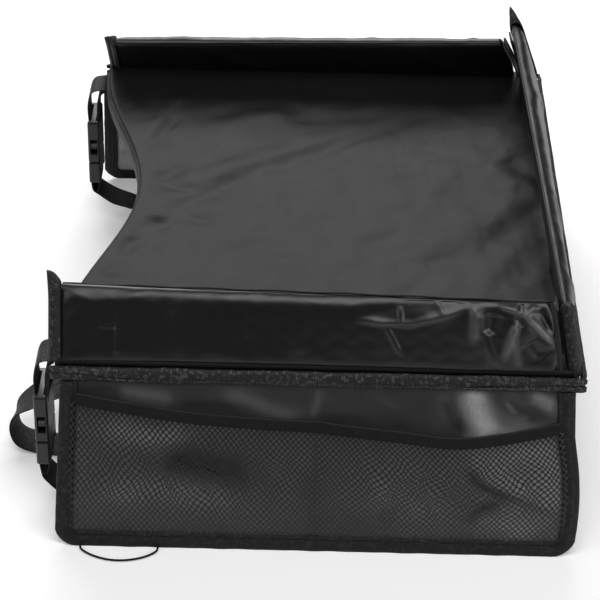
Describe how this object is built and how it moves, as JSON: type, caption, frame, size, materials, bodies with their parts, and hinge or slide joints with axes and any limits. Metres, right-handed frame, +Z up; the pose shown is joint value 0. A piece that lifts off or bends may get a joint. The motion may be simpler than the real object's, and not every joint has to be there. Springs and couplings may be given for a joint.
{
  "type": "car seat tray table",
  "caption": "Soft travel tray for a child's car seat: padded deck with a belly cut-out, folding walls, net-pocket side panels and a buckled waist strap.",
  "frame": {"origin": "centre of the bounding box at the floor the side panels stand on", "axes": "+Z up, +X the tray's front, away from the child, -Y the near side of the picture"},
  "size_m": [0.3761, 0.4797, 0.1781],
  "materials": {
    "deck_fabric": "satin",
    "wall_fabric": "satin",
    "webbing_tape": "ribbed",
    "foam": "matte",
    "board": "matte",
    "pocket_net": "matte",
    "buckle_plastic": "moulded",
    "hook_strip": "matte",
    "loop_strip": "matte",
    "elastic": "matte"
  },
  "bodies": {
    "tray": {"deck_board": "board", "deck_top_cover": "deck_fabric", "deck_under_cover": "deck_fabric", "belly_binding": "webbing_tape", "near_edge_binding": "webbing_tape", "far_edge_binding": "webbing_tape", "front_edge_binding": "webbing_tape", "board_zip": "board", "near_anchor_webbing": "webbing_tape", "far_anchor_webbing": "webbing_tape", "near_buckle_socket": "buckle_plastic", "far_buckle_socket": "buckle_plastic", "waist_strap": "webbing_tape"},
    "near_wall": {"near_wall_cover": "wall_fabric", "near_wall_core": "foam", "near_wall_end_binding": "webbing_tape", "near_wall_hook_strip": "hook_strip"},
    "far_wall": {"far_wall_cover": "wall_fabric", "far_wall_core": "foam", "far_wall_end_binding": "webbing_tape", "far_wall_hook_strip": "hook_strip"},
    "front_wall": {"front_wall_cover": "wall_fabric", "front_wall_core": "foam", "front_wall_near_binding": "webbing_tape", "front_wall_far_binding": "webbing_tape", "near_wall_loop_strip": "loop_strip", "far_wall_loop_strip": "loop_strip"},
    "near_panel": {"near_side_panel": "wall_fabric", "near_panel_binding": "webbing_tape", "near_pocket_net_rear": "pocket_net", "near_pocket_net_front": "pocket_net", "near_pocket_band": "elastic", "elastic_loop": "elastic"},
    "far_panel": {"far_side_panel": "wall_fabric", "far_panel_binding": "webbing_tape", "far_pocket_net_rear": "pocket_net", "far_pocket_net_front": "pocket_net", "far_pocket_band": "elastic"},
    "near_plug": {"near_buckle_plug": "buckle_plastic"},
    "far_plug": {"far_buckle_plug": "buckle_plastic"},
    "near_arm_a": {"near_buckle_arm_a": "buckle_plastic"},
    "near_arm_b": {"near_buckle_arm_b": "buckle_plastic"},
    "far_arm_a": {"far_buckle_arm_a": "buckle_plastic"},
    "far_arm_b": {"far_buckle_arm_b": "buckle_plastic"}
  },
  "joints": [
    {"name": "near_wall_fold", "type": "hinge", "parent": "tray", "child": "near_wall", "pos_m": [0.02, -0.195, 0.12363], "axis": [1, 0, 0], "range_deg": [-55, 90]},
    {"name": "far_wall_fold", "type": "hinge", "parent": "tray", "child": "far_wall", "pos_m": [0.02, 0.195, 0.12363], "axis": [-1, 0, 0], "range_deg": [-37, 120]},
    {"name": "front_wall_fold", "type": "hinge", "parent": "tray", "child": "front_wall", "pos_m": [0.18, 0, 0.12363], "axis": [0, 1, 0], "range_deg": [0, 98]},
    {"name": "near_panel_swing", "type": "hinge", "parent": "tray", "child": "near_panel", "pos_m": [0.02, -0.2018, 0.10753], "axis": [1, 0, 0], "range_deg": [-60, 98], "deforming": ["waist_strap"]},
    {"name": "far_panel_swing", "type": "hinge", "parent": "tray", "child": "far_panel", "pos_m": [0.02, 0.2018, 0.10753], "axis": [-1, 0, 0], "range_deg": [-60, 98], "deforming": ["waist_strap"]},
    {"name": "near_plug_slide", "type": "slide", "parent": "tray", "child": "near_plug", "axis": [0, 0, -1], "range_m": [0, 0.024], "deforming": ["near_buckle_arm_a", "near_buckle_arm_b", "waist_strap"]},
    {"name": "far_plug_slide", "type": "slide", "parent": "tray", "child": "far_plug", "axis": [0, 0, -1], "range_m": [0, 0.024], "deforming": ["far_buckle_arm_a", "far_buckle_arm_b", "waist_strap"]},
    {"name": "near_arm_a_squeeze", "type": "hinge", "parent": "near_plug", "child": "near_arm_a", "pos_m": [-0.156, -0.1865, 0.05563], "axis": [-1, 0, 0], "range_deg": [0, 13.5], "stiffness_Nm_per_rad": 0.02},
    {"name": "near_arm_b_squeeze", "type": "hinge", "parent": "near_plug", "child": "near_arm_b", "pos_m": [-0.156, -0.1695, 0.05563], "axis": [1, 0, 0], "range_deg": [0, 13.5], "stiffness_Nm_per_rad": 0.02},
    {"name": "far_arm_a_squeeze", "type": "hinge", "parent": "far_plug", "child": "far_arm_a", "pos_m": [-0.156, 0.1695, 0.05563], "axis": [-1, 0, 0], "range_deg": [0, 13.5], "stiffness_Nm_per_rad": 0.02},
    {"name": "far_arm_b_squeeze", "type": "hinge", "parent": "far_plug", "child": "far_arm_b", "pos_m": [-0.156, 0.1865, 0.05563], "axis": [1, 0, 0], "range_deg": [0, 13.5], "stiffness_Nm_per_rad": 0.02}
  ],
  "couplings": [
    {"joint": "near_arm_b_squeeze", "follows": "near_arm_a_squeeze", "ratio": 1},
    {"joint": "far_arm_b_squeeze", "follows": "far_arm_a_squeeze", "ratio": 1}
  ]
}
